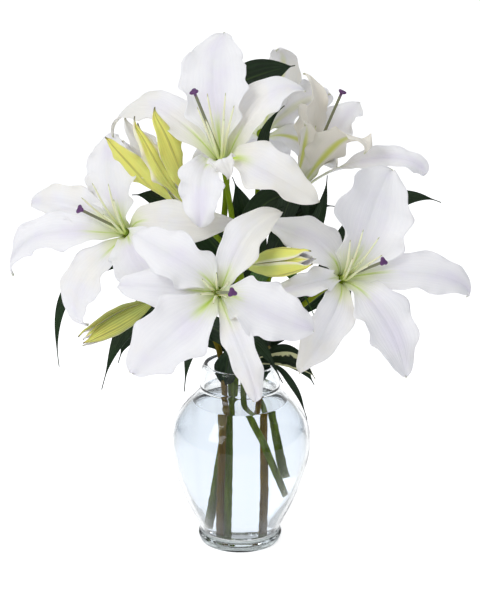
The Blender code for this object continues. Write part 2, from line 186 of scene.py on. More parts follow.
def petalFace(name, warmth, outside=False, ribbed=0.0, blotch=0.0):
    # One side of a tepal: inside it has the green furrow and throat, outside a midrib. Warmth
    # turns it from cool white to cream and then beige, and blotch spreads the green of its furrow.
    finish = Finish(
        name,
        Subsurface_Weight=petalLook["softness"],
        Subsurface_Scale=0.004,
        Subsurface_Radius=(1.0, 0.9, 0.8),
        Specular_IOR_Level=0.30,
        Sheen_Weight=0.10,
    )
    along = finish.attribute("along")
    off = abs(finish.attribute("across"))
    clouds = finish.grain(petalLook["clouds"])
    # Painted shade and highlight: the middle is painted darker, in the lavender and grey shades, and the
    # edges lighter, in clear white; the warmer the tepal, the less.
    middle = finish.ease(off + clouds * 0.5 + along * 0.15, 1.05, 0.35)
    colour = finish.blend(finish.ease(clouds, 0.35, 0.7), petalLook["cool"], petalLook["shadeGrey"])
    colour = finish.blend(middle * max(0.85 - 0.35 * warmth, 0.4), petalLook["highlightRim"], colour)
    patches = finish.grain(petalLook["patches"], stretch=(1.3, 0.8, 1))
    patches = finish.ease(patches, 0.62 - 0.3 * warmth, 0.8 - 0.3 * warmth)
    colour = finish.blend(patches * min(0.15 + 0.65 * warmth, 1), colour, petalLook["cream"])
    colour = finish.blend(max(warmth - 0.8, 0), colour, petalLook["beige"])
    veins = finish.lengthwise(petalLook["veins"], 9.0)
    fine = finish.lengthwise(2.7 * petalLook["veins"], 16.0)
    lines = (veins * 0.06 + fine * 0.03) * finish.ease(along, 1.0, 0.5)
    colour = finish.blend(lines, colour, petalLook["veinTint"])
    if outside:
        rib = finish.ease(off, 0.30, 0.02) * finish.ease(along, 1.0, 0.45)
        colour = finish.blend(rib * ribbed, colour, petalLook["rib"])
        foot = finish.ease(along, 0.30, 0.02)
        colour = finish.blend(foot * 0.6, colour, petalLook["throat"])
    else:
        rays = finish.ease(fine * 0.5 + veins * 0.5, 0.2, 0.9)
        throat = finish.ease(along + off * 0.12 - rays * 0.07, 0.36, 0.03)
        colour = finish.blend(throat * 0.8, colour, petalLook["throat"])
        furrow = finish.ease(off, 0.16 + 0.22 * blotch, 0.04)
        furrow = furrow * finish.ease(along, 0.34 + 0.12 * blotch, 0.12)
        colour = finish.blend(furrow * (0.7 + 0.3 * blotch), colour, petalLook["furrow"])
    tip = finish.ease(along, 0.965, 1.0)
    colour = finish.blend(tip * 0.7, colour, petalLook["tip"])
    pores = finish.grain(petalLook["pores"], detail=1.0)
    finish.relief(veins * 0.35 + fine * 0.2 + pores * 0.2, petalLook["relief"], 0.6)
    return finish.paint(colour, finish.grain(60) * 0.2 + petalLook["roughness"])


openingLook = {
    "yellow": (0.90, 0.87, 0.20),
    "green": (0.62, 0.70, 0.20),
    "blush": (0.93, 0.86, 0.66),
    "olive": (0.30, 0.30, 0.03),
    "ridge": (0.20, 0.21, 0.06),
    "tip": (0.12, 0.10, 0.05),
    "streaks": 30.0,
    "relief": 0.3,
    "roughness": 0.34,
}


def openingFace(name, yellow, edge, olive=0.0):
    # The outside of a tepal that has only just opened, or of a bud. Yellow keeps the green back,
    # edge is how far out the pale margin starts, and olive darkens the streaks.
    finish = Finish(name, Subsurface_Weight=0.15, Subsurface_Scale=0.003, Specular_IOR_Level=0.3)
    along = finish.attribute("along")
    off = abs(finish.attribute("across"))
    streaks = finish.lengthwise(openingLook["streaks"], 3.0)
    greening = finish.ease(finish.grain(30) * 0.5 + off * 0.2 + (1 - along) * 0.5, 0.40, 0.75)
    body = finish.blend(greening * (1 - 0.6 * yellow), openingLook["yellow"], openingLook["green"])
    margin = finish.ease(off + along * 0.25 + streaks * 0.08, edge, edge + 0.30)
    colour = finish.blend(margin, body, openingLook["blush"])
    colour = finish.blend(streaks * 0.12, colour, openingLook["green"])
    darker = streaks * 0.5 + finish.ease(off, 0.35, 0.9) * 0.5
    colour = finish.blend(darker * olive, colour, openingLook["olive"])
    ridge = finish.ease(off, 0.13, 0.02) * finish.ease(along, 0.05, 0.75)
    colour = finish.blend(ridge * 0.5, colour, openingLook["ridge"])
    tip = finish.ease(along, 0.95, 1.0)
    colour = finish.blend(tip, colour, openingLook["tip"])
    pores = finish.grain(700, detail=1.0)
    finish.relief(streaks * 0.6 + pores * 0.3, openingLook["relief"], 0.6)
    return finish.paint(colour, finish.grain(80) * 0.2 + openingLook["roughness"])


leafLook = {
    "deep": (0.004, 0.014, 0.004),
    "fresh": (0.020, 0.066, 0.010),
    "under": (0.012, 0.030, 0.008),
    "rib": (0.07, 0.12, 0.03),
    "margin": (0.72, 0.72, 0.42),  # of the variegated leaf
    "veins": 20.0,
    "relief": 0.3,
    "roughness": (0.32, 0.46),  # of its upper and its under side
}


def leafFace(name, freshness, under=False, variegated=False):
    finish = Finish(name, Specular_IOR_Level=0.28)
    along = finish.attribute("along")
    off = abs(finish.attribute("across"))
    veins = finish.lengthwise(leafLook["veins"], 1.2)
    clouds = finish.ease(finish.grain(35), 0.35, 0.70)
    fresh = tuple(a + (b - a) * freshness for a, b in zip(leafLook["deep"], leafLook["fresh"]))
    dark = tuple(0.55 * part for part in fresh)
    colour = finish.blend(clouds, dark, fresh)
    if under:
        colour = finish.blend(0.5, colour, leafLook["under"])
    colour = finish.blend(veins * 0.25, colour, tuple(1.7 * part for part in fresh))
    rib = finish.ease(off, 0.10, 0.02) * finish.ease(along, 1.0, 0.3)
    colour = finish.blend(rib * 0.35, colour, leafLook["rib"])
    if variegated:
        margin = finish.ease(off + finish.grain(140) * 0.9, 1.05, 1.2)
        colour = finish.blend(margin, colour, leafLook["margin"])
    finish.relief(veins + rib, leafLook["relief"], 0.7)
    return finish.paint(colour, finish.grain(120) * 0.25 + leafLook["roughness"][int(under)])


stemLook = {
    "green": ((0.20, 0.30, 0.006), (0.065, 0.105, 0.004)),  # light and dark
    "brown": ((0.24, 0.150, 0.006), (0.075, 0.040, 0.004)),
    "node": (0.30, 0.24, 0.10),
    "cut": (0.52, 0.56, 0.34),
    "greenFrom": (0.19, 0.30),  # every stem turns green above the vase, over these heights in metres
    "relief": 0.4,
    "roughness": 0.34,
}


def stemFace(name, kind):
    finish = Finish(name, Specular_IOR_Level=0.1)
    light, dark = stemLook[kind]
    streaks = finish.ease(finish.grain(260, stretch=(1, 1, 0.06)), 0.35, 0.68)
    clouds = finish.ease(finish.grain(28, stretch=(1, 1, 0.6)), 0.30, 0.70)
    colour = finish.blend(streaks * 0.6 + clouds * 0.4, dark, light)
    colour = finish.blend(finish.attribute("knot"), colour, stemLook["node"])
    colour = finish.blend(finish.attribute("cut"), colour, stemLook["cut"])
    height = finish.add("SeparateXYZ", {}, {0: finish.add("TexCoord", {}, {}, "Object")}, "Z")
    higher = finish.ease(height, *stemLook["greenFrom"])
    colour = finish.blend(higher * 0.8, colour, stemLook["green"][0])
    finish.relief(streaks + finish.grain(500) * 0.5, stemLook["relief"], 0.8)
    return finish.paint(colour, finish.grain(90) * 0.3 + stemLook["roughness"])


heartLook = {
    # Colour low down, colour high up, colour of the end, and where the end begins.
    "filament": ((0.74, 0.86, 0.22), (0.93, 0.94, 0.66), (0.50, 0.52, 0.22), 0.96),
    "style": ((0.50, 0.64, 0.12), (0.20, 0.21, 0.12), (0.11, 0.03, 0.14), 0.85),
}


def heartFace(name, low, high, end, endFrom):
    # A filament or a pistil, coloured along its length, with its end in another colour.
    finish = Finish(name, Subsurface_Weight=0.1, Subsurface_Scale=0.002)
    along = finish.attribute("along")
    mottle = finish.grain(160) - 0.5
    colour = finish.blend(finish.ease(along + mottle * 0.3, 0.05, 0.7), low, high)
    colour = finish.blend(finish.ease(along + mottle * 0.02, endFrom, endFrom + 0.025), colour, end)
    finish.relief(finish.grain(1500, detail=1.0), 0.3, 0.6)
    return finish.paint(colour, mottle * 0.3 + 0.42)


# Glint is how strong the reflections are, and wave how deep the surface waves, in millimetres.
glassLook = {
    "tint": (0.985, 0.995, 0.995),
    "index": 1.5,
    "glint": 0.4,
    "wave": 0.5,
    "haze": 0.02,
    "density": 9.0,
    "absorbed": (0.44, 0.56, 0.55),
}
waterLook = {"tint": (0.82, 0.865, 0.93), "index": 1.333, "glint": 0.12, "wave": 0.3, "haze": 0.01}


def clearFace(name, look):
    # Clear, with the faint waviness of pressed glass or of a water surface.
    finish = Finish(
        name,
        Base_Color=look["tint"],
        Transmission_Weight=1.0,
        IOR=look["index"],
        Specular_Tint=(look["glint"],) * 3,
    )
    wave = finish.grain(18, detail=1.0) + finish.grain(55, detail=1.0) * 0.3
    finish.relief(wave, look["wave"], 1.0)
    if "density" in look:
        settings = {"Color": look["absorbed"], "Density": look["density"]}
        absorbed = finish.add("VolumeAbsorption", {}, settings)
        finish.feed(finish.tree.nodes["Material Output"].inputs["Volume"], absorbed)
    return finish.paint(roughness=finish.grain(40) * look["haze"])


finishes = {
    "coolInside": petalFace("petalInsideCool", 0.0),
    "coolOutside": petalFace("petalOutsideCool", 0.1, True, 0.35),
    "creamInside": petalFace("petalInsideCream", 0.75),
    "creamOutside": petalFace("petalOutsideCream", 0.8, True, 0.9),
    "beigeInside": petalFace("petalInsideBeige", 1.2),
    "beigeOutside": petalFace("petalOutsideBeige", 1.2, True, 1.0),
    "limeInside": petalFace("petalInsideLime", 0.9, blotch=1.0),
    "limeCoolInside": petalFace("petalInsideLimeCool", 0.2, blotch=0.5),
    "yellowOutside": openingFace("openingYellow", 1.0, 1.05),
    "greenOutside": openingFace("openingGreen", 0.75, 0.70),
    "budSepal": openingFace("budSepal", 0.35, 0.85),
    "oliveSepal": openingFace("budOlive", 0.0, 1.1, 0.9),
    "budPetal": openingFace("budPetal", 0.5, 0.55),
    "leaf": leafFace("leafTop", 0.25),
    "leafUnder": leafFace("leafUnder", 0.25, True),
    "freshLeaf": leafFace("freshLeafTop", 2.4),
    "freshLeafUnder": leafFace("freshLeafUnder", 2.0, True),
    "variegated": leafFace("variegatedLeafTop", 0.1, variegated=True),
    "variegatedUnder": leafFace("variegatedLeafUnder", 0.1, True, True),
    "greenStem": stemFace("greenStem", "green"),
    "brownStem": stemFace("brownStem", "brown"),
    "filament": heartFace("filament", *heartLook["filament"]),
    "style": heartFace("style", *heartLook["style"]),
    "glass": clearFace("pressedGlass", glassLook),
    "water": clearFace("clearWater", waterLook),
}
# The limes differ only inside.
finishes["limeOutside"] = finishes["creamOutside"]
finishes["limeCoolOutside"] = finishes["coolOutside"]
print("materials made:", len(finishes))


def smoothPath(points, perSpan):
    # Points along a smooth curve through the given ones.
    knots = [Vector(point) for point in points]
    knots = [2 * knots[0] - knots[1], *knots, 2 * knots[-1] - knots[-2]]
    path = []
    for a, b, c, d in zip(knots, knots[1:], knots[2:], knots[3:]):
        for step in range(perSpan):
            t = step / perSpan
            curved = (2 * a - 5 * b + 4 * c - d) * t**2 + (3 * b - a - 3 * c + d) * t**3
            path.append(0.5 * (2 * b + (c - a) * t + curved))
    return [*path, knots[-2]]


def bezier(points, t):
    a, b, c, d = points
    s = 1 - t
    return s**3 * a + 3 * s * s * t * b + 3 * s * t * t * c + t**3 * d


def eased(value, low, high):
    t = min(max((value - low) / (high - low), 0), 1)
    return t * t * (3 - 2 * t)


def place(name, mesh, faces, slot, stands):
    # Puts a mesh in the scene as a piece of the object, standing for the CAD nodes named.
    for face in faces:
        mesh.materials.append(finishes[face])
    mesh.shade_smooth()
    piece = bpy.data.objects.new(name, mesh)
    bpy.context.scene.collection.objects.link(piece)
    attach(piece, "root")
    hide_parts(*stands)
    return piece


bladeShape = {
    "edgeThinner": 0.75,  # shares of the thickness lost at the sides and at the tip
    "tipThinner": 0.5,
    "least": 0.25,  # the share that is left everywhere
}


def blade(name, lineAt, size, thickness, faces, slot, stands):
    # A thin curved blade: a grid of points, smoothed and then thickened, thinner towards its edges.
    rows, columns = size
    shape = bmesh.new()
    along = shape.verts.layers.float.new("along")
    across = shape.verts.layers.float.new("across")
    weight = shape.verts.layers.deform.verify()
    grid = []
    for i in range(rows + 1):
        u = i / rows
        line = lineAt(u)
        grid.append([])
        for j in range(columns + 1):
            v = 2 * j / columns - 1
            corner = shape.verts.new(mm * line(v))
            corner[along] = u
            corner[across] = v
            inner = 1 - bladeShape["edgeThinner"] * abs(v) ** 3
            corner[weight][0] = inner * (1 - bladeShape["tipThinner"] * u)
            grid[i].append(corner)
    for i in range(rows):
        for j in range(columns):
            shape.faces.new((grid[i][j], grid[i + 1][j], grid[i + 1][j + 1], grid[i][j + 1]))
    mesh = bpy.data.meshes.new(name)
    shape.to_mesh(mesh)
    shape.free()
    piece = place(name, mesh, faces, slot, stands)
    piece.vertex_groups.new(name="body")
    smooth = piece.modifiers.new("smooth", "SUBSURF")
    smooth.levels = smooth.render_levels = 1
    solid = piece.modifiers.new("thickness", "SOLIDIFY")
    solid.thickness = thickness * mm
    solid.offset = 0
    solid.vertex_group = "body"
    solid.thickness_vertex_group = bladeShape["least"]
    solid.material_offset = len(faces) - 1  # the second face is the outer side


def sweep(name, parts, face, slot, stands):
    # Tubes along paths, in one mesh. Each part is its points, a radius for each, how many sides it
    # has, and a function of (share along, angle) that makes its outline other than round.
    shape = bmesh.new()
    layers = {key: shape.verts.layers.float.new(key) for key in ("along", "knot", "cut")}
    for part in parts:
        points, radii, sides = part["points"], part["radii"], part["sides"]
        outline = part.get("outline", lambda along, angle: 1.0)
        knots = part.get("knots", [0.0] * len(points))
        side = Vector((0.31, 0.22, 0.93)).cross(points[1] - points[0]).normalized()  # no path starts so
        rings = []
        for k, point in enumerate(points):
            heading = (points[min(k + 1, len(points) - 1)] - points[max(k - 1, 0)]).normalized()
            side = (side - side.dot(heading) * heading).normalized()
            other = heading.cross(side)
            along = k / (len(points) - 1)
            ring = []
            for s in range(sides):
                angle = 2 * math.pi * s / sides
                radius = radii[k] * outline(along, angle)
                ray = math.cos(angle) * side + math.sin(angle) * other
                corner = shape.verts.new(mm * (point + radius * ray))
                corner[layers["along"]] = along
                corner[layers["knot"]] = knots[k]
                corner[layers["cut"]] = 1.0 if k == 0 and part.get("cutEnd") else 0.0
                ring.append(corner)
            rings.append(ring)
        for low, high in zip(rings, rings[1:]):
            for s in range(sides):
                shape.faces.new((low[s], low[(s + 1) % sides], high[(s + 1) % sides], high[s]))
        shape.faces.new(rings[0][::-1])
        shape.faces.new(rings[-1])
    mesh = bpy.data.meshes.new(name)
    shape.to_mesh(mesh)
    shape.free()
    place(name, mesh, [face], slot, stands)


# Each flower: where its tepals join, where it faces (degrees to the right of -Y and above level),
# how far its first tepal is turned about its axis, the tip of its pistil (across, up and along its
# axis), how its stamens lean (across and up) and the radius of their ring, and its tepals in order
# round the axis. A tepal has the turns of its middle and its tip, its tip's reach from the
# axis and lift along it, the angle that its tip has curled to, its half width and its finish, and
# last, where it is rolled about its own length, by how many degrees.
frontLily = {
    "base": (-22, -100, 308),
    "faces": (-3, 17),
    "turned": -5,
    "pistil": (19, 0, 93),
    "stamens": (1, 4, 15),
    "tepals": (
        ("petal_1", -18, -19, 106, 8, 130, 28, "cool"),
        ("sepal_1", 64, 50, 105, 2, 135, 20, "cream"),
        ("petal_2", 138, 145, 104, 14, 125, 25, "cool"),
        ("sepal_2", 176, 176, 105, -4, 135, 19, "cream"),
        ("petal_3", -135, -135, 120, 12, 125, 34, "limeCool"),
        ("sepal_3", -65, -70, 118, 2, 150, 15, "cream"),
    ),
}
topLily = {
    "base": (-18, -60, 431),
    "faces": (-10, 47),
    "turned": 95,
    "pistil": (-18, 20, 84),
    "stamens": (-1, 22, 18),
    "tepals": (
        ("petal_1", 99, 93, 131, 45, 110, 35, "cool"),
        ("sepal_1", 147, 163, 130, -18, 172, 21, "cream"),
        ("petal_2", -108, -103, 73, -18, 170, 22, "cool"),
        ("sepal_2", -72, -64, 39, 18, 150, 13, "cream"),
        ("petal_3", -25, -22, 112, -5, 130, 25, "lime"),
        ("sepal_3", 50, 40, 108, 30, 125, 23, "cream"),
    ),
}
leftLily = {
    "base": (-116, -30, 351),
    "faces": (-25, 28),
    "turned": 93,
    "pistil": (-14, 2, 74),
    "stamens": (-6, 18, 18),
    "tepals": (
        ("petal_1", 105, 107, 108, 16, 118, 27.5, "cool"),
        ("sepal_1", 163, 173, 108, 25, 120, 20, "cream"),
        ("petal_2", -164, -150, 130, 20, 135, 20, "cool"),
        ("sepal_2", -108, -102, 108, 0, 155, 23, "cream"),
        ("petal_3", -42, -42, 95, 5, 140, 28, "cool"),
        ("sepal_3", 9, 13, 127, 5, 130, 21, "cream"),
    ),
}
rightLily = {
    "base": (104, -50, 308),
    "faces": (20, 25),
    "turned": 60,
    "pistil": (12, 2, 76),
    "stamens": (4, 20, 18),
    "tepals": (
        ("petal_1", 67, 60, 122, 35, 115, 43, "cool"),
        ("sepal_1", 131, 139, 98, -4, 135, 22, "cool"),
        ("petal_2", -175, -175, 84, 1, 140, 13, "cool"),
        ("sepal_2", -124, -125, 112, -4, 130, 22, "cream"),
        ("petal_3", -64, -68, 122, 15, 125, 28, "cool"),
        ("sepal_3", -7, -15, 133, 25, 145, 21, "cool"),
    ),
}
sideLily = {
    "base": (65, 40, 385),
    "faces": (75, 68),
    "turned": 85,
    "opens": (23, 17),
    "pistil": (8, 0, 104),
    "stamens": (0, 0, 14),
    "tepals": (
        ("petal_1", 68, 65, 49, 110, 60, 18, "beige"),
        ("sepal_1", 146, 158, 47, 76, 70, 17, "beige"),
        ("petal_2", -140, -132, 78, 75, 130, 25, "beige"),
        ("sepal_2", -100, -86, 114, 56, 180, 16, "cool", 40),
        ("petal_3", -28, -16, 50, 98, 60, 27, "cream"),
        ("sepal_3", 30, 26, 84, 57, 130, 18, "beige"),
    ),
}
backLily = {
    "base": (25, 95, 428),
    "faces": (172, 22),
    "turned": 38,
    "pistil": (4, 12, 84),
    "stamens": (0, 12, 18),
    "tepals": (
        ("petal_1", 42, 46, 92, 20, 135, 26, "cool"),
        ("sepal_1", 108, 98, 104, 8, 140, 21, "cream"),
        ("petal_2", 156, 154, 84, 24, 130, 26, "cool"),
        ("sepal_2", 214, 212, 96, 8, 135, 20, "cream"),
        ("petal_3", 272, 270, 104, 16, 130, 27, "cool"),
        ("sepal_3", 330, 332, 96, 8, 135, 20, "cream"),
    ),
}
openingLily = {
    "base": (-55, -30, 382),
    "faces": (-75, 52),
    "turned": -10,
    "opens": (20, 13),
    "tepals": (
        ("petal_1", 4, 32, 19, 110, -15, 11, "greenOutside"),
        ("sepal_1", 42, 46, 43, 109, 0, 14, "yellowOutside", -25),
        ("petal_2", 110, 112, 10, 94, -15, 10, "greenOutside"),
        ("sepal_2", 170, 170, 30, 102, 0, 14, "yellowOutside"),
        ("petal_3", -130, -130, 8, 90, -15, 12, "greenOutside"),
        ("sepal_3", -83, -76, 20, 112, 3, 15, "yellowOutside", 40),
    ),
}
lilies = {
    "front_lily": frontLily,
    "top_lily": topLily,
    "left_lily": leftLily,
    "right_lily": rightLily,
    "side_lily": sideLily,
    "back_lily": backLily,
    "opening_lily": openingLily,
}

tepalShape = {
    "opens": (30, 22),  # how wide the sepals and the petals start, in degrees, if a flower says no other
    "size": (40, 16),  # rows and columns before smoothing
    "thickness": 1.3,
    "widest": 0.46,  # where along its length a tepal is widest
    "petalClaw": 4.6,  # how far from the axis it starts
    "sepalClaw": 6.6,
    "petalFoot": 0.13,  # its width there, as a share of the widest
    "sepalFoot": 0.24,
    "reach": 0.4,  # how firmly it keeps its first and last direction
    "ridge": 1.0,  # the two ribs beside the furrow
    "petalFrill": 5.0,  # how far the edges wave
    "sepalFrill": 2.2,
    "petalWaves": (2.6, 4.2),  # the least and the most waves on a side
    "sepalWaves": (1.8, 2.8),
    "ruffle": 1.6,  # a finer wave, at the very edge
    "sway": 3.0,  # slow bends of the whole blade
    "hook": 5.0,  # how far the tip's last tenth turns back
}


def axesOf(faces):
    # A flower's axis and its rightward and upward directions, as seen from in front of it.
    heading, rise = (math.radians(angle) for angle in faces)
    x, y = math.sin(heading), -math.cos(heading)
    axis = Vector((x * math.cos(rise), y * math.cos(rise), math.sin(rise)))
    up = Vector((-x * math.sin(rise), -y * math.sin(rise), math.cos(rise)))
    return axis, up.cross(axis), up


def tepalLine(flower, index, u, waves):
    # The line across a tepal at u, as a function of v from edge to edge (-1 to 1).
    kind, midTurn, tipTurn, reach, lift, curl, width, _, *roll = flower["tepals"][index]
    isSepal = kind.startswith("sepal")
    axis, right, up = axesOf(flower["faces"])
    clawTurn = flower["turned"] + 60 * index
    toMiddle = (midTurn - clawTurn + 180) % 360 - 180
    toTip = (tipTurn - clawTurn + 180) % 360 - 180
    claw = tepalShape["sepalClaw"] if isSepal else tepalShape["petalClaw"]
    opens = math.radians(flower.get("opens", tepalShape["opens"])[0 if isSepal else 1])
    curled = math.radians(curl)
    start, end = Vector((claw, 0)), Vector((reach, lift))
    handle = tepalShape["reach"] * max(math.hypot(reach, lift), 95)
    line = (
        start,
        start + handle * Vector((math.sin(opens), math.cos(opens))),
        end - handle * Vector((math.sin(curled), math.cos(curled))),
        end,
    )

    def centre(t):
        fromAxis, alongAxis = bezier(line, t)
        turn = math.radians(clawTurn + toMiddle * 4 * t * (1 - t) + toTip * t * (2 * t - 1))
        outward = math.cos(turn) * right + math.sin(turn) * up
        return fromAxis * outward + alongAxis * axis, turn, fromAxis

    middle, turn, fromAxis = centre(u)
    aside = math.cos(turn) * up - math.sin(turn) * right
    heading = (centre(u + 0.01)[0] - centre(u - 0.01)[0]).normalized()
    aside = (aside - aside.dot(heading) * heading).normalized()
    inward = heading.cross(aside).normalized()
    rolled = math.radians(roll[0] if roll else 0) * eased(u, 0.05, 0.5)
    aside, inward = (
        math.cos(rolled) * aside + math.sin(rolled) * inward,
        math.cos(rolled) * inward - math.sin(rolled) * aside,
    )
    widest = tepalShape["widest"]
    if u < widest:
        least = tepalShape["sepalFoot" if isSepal else "petalFoot"]
        share = least + (1 - least) * math.sin(math.pi / 2 * u / widest) ** 1.7
    else:
        share = 1 - ((u - widest) / (1 - widest)) ** 2.2
    half = max(width * share, 0.6)
    cup = max(min(half / fromAxis, 1.0), 0.4 * (1 - u))
    hook = tepalShape["hook"] * max(u - 0.9, 0) ** 2 / 0.01
    back = 0.6 * waves["twist"] * aside - inward - 0.4 * heading
    base = Vector(flower["base"]) + middle + hook * back
    frill = tepalShape["sepalFrill" if isSepal else "petalFrill"] * math.sin(math.pi * u**0.8) ** 0.7
    ridge = tepalShape["ridge"] * eased(u, 0.02, 0.2) * (1 - eased(u, 0.55, 1.0))

    count = waves["count"]

    def point(v):
        bend = v * cup
        facing = math.cos(bend) * inward - math.sin(bend) * aside
        edge = abs(v) ** 2.6
        phase = waves["left"] if v < 0 else waves["right"]
        wave = math.sin(count * 2 * math.pi * u + phase) + 0.45 * math.sin(count * 5.3 * u + 2 * phase)
        rise = frill * edge * wave
        ruffle = tepalShape["ruffle"] * abs(v) ** 6
        rise += ruffle * math.sin(count * 17 * u + phase) * math.sin(math.pi * u)
        rise += ridge * (math.exp(-(((abs(v) - 0.17) / 0.08) ** 2)) - 0.9 * math.exp(-((v / 0.07) ** 2)))
        drift = noise.noise(Vector((2.6 * u, 1.4 * v, waves["seed"])))
        rise += tepalShape["sway"] * drift * eased(u, 0.1, 0.5)
        across = half * math.sin(bend) / cup * (1 + 0.08 * edge * math.sin(count * 9 * u + phase))
        raised = half * (1 - math.cos(bend)) / cup
        return base + across * aside + raised * inward + rise * facing

    return point


def makeTepal(name, flower, index):
    kind = flower["tepals"][index][0]
    face = flower["tepals"][index][7]
    node = f"{name}_{kind}"
    chance = random.Random(node)
    counts = tepalShape["petalWaves" if kind.startswith("petal") else "sepalWaves"]
    waves = {
        "left": chance.uniform(0, 6.28),
        "right": chance.uniform(0, 6.28),
        "count": chance.uniform(*counts),
        "seed": chance.uniform(0, 50),
        "twist": chance.choice((-1, 1)),
    }
    if face in finishes:
        faces = ["creamInside", face]
        slot = "opening_petal"
    else:
        faces = [face + "Inside", face + "Outside"]
        slot = "white_petal"
    lineAt = lambda u: tepalLine(flower, index, u, waves)
    blade(node + "_blade", lineAt, tepalShape["size"], tepalShape["thickness"], faces, slot, [node])


heartShape = {
    "filament": 1.35,  # radii, but for filamentLift, its height along the axis
    "filamentLift": 62.0,
    "style": 1.5,
    "ovary": 3.3,
    "stigma": 4.1,
    # The stigma's outline: rises beyond the style's end, and shares of its radius.
    "knob": ((0.4, 0.6), (1.2, 0.85), (2.2, 1.0), (3.1, 0.95), (3.8, 0.7), (4.1, 0.25)),
    "lobes": 0.24,
    "ovaryRibs": 0.10,
}


def makeHeart(name, flower):
    # A pistil with a three-lobed stigma, and six filaments whose anthers have been picked off.
    axis, right, up = axesOf(flower["faces"])
    base = Vector(flower["base"])

    def at(across, rise, lift):
        return base + across * right + rise * up + lift * axis

    node = f"{name}_pistil_and_stamens"
    x, y, z = flower["pistil"]
    path = smoothPath([at(0, 0, 1), at(0, 0, 14), at(x / 3, y / 4, z / 2), at(x, y, z)], 14)
    heading = (path[-1] - path[-2]).normalized()
    count = len(path)
    radii = []
    for k in range(count):
        swell = 1 - eased(k / count, 0.12, 0.30)
        radii.append(heartShape["style"] + swell * (heartShape["ovary"] - heartShape["style"]))
    knob = heartShape["knob"]
    path += [path[-1] + rise * heading for rise, _ in knob]
    radii += [heartShape["stigma"] * share for _, share in knob]
    lobesFrom = (count - 1) / (len(path) - 1)

    def outline(along, angle):
        if along > lobesFrom:
            return 1 + heartShape["lobes"] * math.cos(3 * angle)
        return 1 + heartShape["ovaryRibs"] * (1 - eased(along, 0.1, 0.25)) * math.cos(6 * angle)

    pistil = {"points": path, "radii": radii, "sides": 24, "outline": outline}
    sweep(f"{name}_pistil", [pistil], "style", "flower_heart", [node])
    leanAcross, leanUp, ring = flower["stamens"]
    filaments = []
    for k in range(6):
        turn = math.radians(flower["turned"] + 60 * k + 30)
        x = leanAcross + ring * math.cos(turn)
        y = leanUp + ring * math.sin(turn)
        foot = at(0.6 * math.cos(turn), 0.6 * math.sin(turn), 1.6)
        low = at(3 * math.cos(turn), 3 * math.sin(turn), 12)
        lift = heartShape["filamentLift"]
        bend = at(0.55 * x, 0.45 * y, 0.6 * lift)
        path = smoothPath([foot, low, bend, at(x, y, lift)], 12)
        shares = [i / (len(path) - 1) for i in range(len(path))]
        radii = [heartShape["filament"] * (1.15 - 0.55 * t**2 - 0.4 * eased(t, 0.93, 1)) for t in shares]
        filaments.append({"points": path, "radii": radii, "sides": 8})
    sweep(f"{name}_filaments", filaments, "filament", "flower_heart", [node])


for name, lily in lilies.items():
    for index in range(6):
        makeTepal(name, lily, index)
    if "pistil" in lily:
        makeHeart(name, lily)
print("lilies made:", len(lilies))


# Each bud: its base, its tip, its greatest radius, how far its first sepal is turned, how far each
# sepal has split from the next (as shares of budShape's split), and the finish of its sepals.
buds = {
    "right_bud": {
        "base": (11, -75, 329),
        "tip": (72, -108, 345),
        "radius": 14.0,
        "turned": 75,
        "splits": (1.0, 0.35, 0.6),
        "face": "budSepal",
    },
    "left_bud": {
        "base": (-95, -20, 272),
        "tip": (-163, -50, 240),
        "radius": 12.5,
        "turned": 60,
        "splits": (0.6, 0.4, 0.8),
        "face": "oliveSepal",
    },
}
budShape = {
    # Shares of the radius at shares of the length.
    "swell": (
        *((0, 0.34), (0.12, 0.60), (0.32, 0.93), (0.52, 1.0)),
        *((0.72, 0.84), (0.88, 0.52), (1, 0.16)),
    ),
    "size": (26, 12),
    "thickness": 1.2,
    "split": 5.5,
    "sepalSpread": 58,  # half the angle that a blade covers, in degrees
    "petalSpread": 50,
    "sepalRidge": 0.9,
    "petalGroove": 0.8,
}


def swellAt(u):
    for (low, first), (high, second) in zip(budShape["swell"], budShape["swell"][1:]):
        if u <= high:
            change = second - first
            return first + change * eased(u, low, high) * 0.5 + change * (u - low) / (high - low) * 0.5
    return budShape["swell"][-1][1]


def budLine(bud, kind, index, u):
    base, tip = Vector(bud["base"]), Vector(bud["tip"])
    axis = (tip - base).normalized()
    right = axis.cross(Vector((0, 0, 1))).normalized()
    up = right.cross(axis)
    isSepal = kind == "sepal"
    turn = math.radians(bud["turned"] + 120 * index + (0 if isSepal else 60))
    length = (tip - base).length * (1.0 if isSepal else 0.97)
    spread = budShape["sepalSpread" if isSepal else "petalSpread"] * (1 - 0.25 * eased(u, 0.55, 1.0))
    if u == 1:
        spread = 30
    radius = bud["radius"] * swellAt(u) * (1.0 if isSepal else 0.90)
    parting = budShape["split"] * eased(u, 0.72, 1.0) * (bud["splits"][index] if isSepal else 0.15)
    narrow = 1 - 0.75 * eased(u, 0.80, 1.0)
    out = math.cos(turn) * right + math.sin(turn) * up

    def point(v):
        angle = turn - math.radians(spread) * v * narrow
        ray = math.cos(angle) * right + math.sin(angle) * up
        if isSepal:
            ridge = budShape["sepalRidge"] * math.exp(-((v / 0.16) ** 2)) * eased(u, 0.0, 0.3)
        else:
            ridge = -budShape["petalGroove"] * math.exp(-((v / 0.2) ** 2))
        lap = (0.5 if isSepal else -0.5) * (1 - abs(v) ** 3)
        return base + length * u * axis + (radius + ridge + lap) * ray + parting * out

    return point


for name, bud in buds.items():
    for kind in ("petal", "sepal"):
        for index in range(3):
            faces = ["creamInside", bud["face"] if kind == "sepal" else "budPetal"]
            lineAt = lambda u: budLine(bud, kind, index, u)
            piece = f"{name}_{kind}_{index + 1}"
            blade(piece, lineAt, budShape["size"], budShape["thickness"], faces, "bud", [name])
print("buds made:", len(buds))


